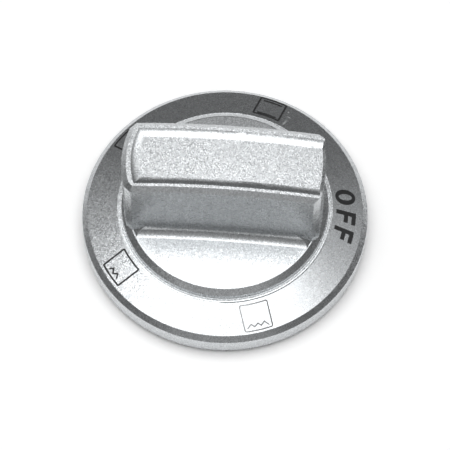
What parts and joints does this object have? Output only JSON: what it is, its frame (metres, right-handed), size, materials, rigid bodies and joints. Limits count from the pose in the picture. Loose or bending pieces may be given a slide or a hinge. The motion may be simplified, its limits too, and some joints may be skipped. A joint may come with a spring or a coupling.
{
  "type": "oven control knob",
  "caption": "Silver oven selector knob: a raised grip bar on a domed disc, set in a sloped round skirt that carries the dial, with a spring-clamped D-shaft socket behind.",
  "frame": {"origin": "on the shaft axis, in the plane of the skirt's rim that faces the panel", "axes": "+Z away from the panel along the shaft axis, +X along the grip bar to its pointer end"},
  "size_m": [0.055, 0.055, 0.0255],
  "materials": {
    "silver_paint": "silver metallic lacquer on moulded plastic",
    "spring_steel": "bright spring steel"
  },
  "bodies": {
    "root": {"grip": "silver_paint", "dial_ring": "silver_paint", "shaft_spring": "spring_steel"}
  },
  "joints": []
}
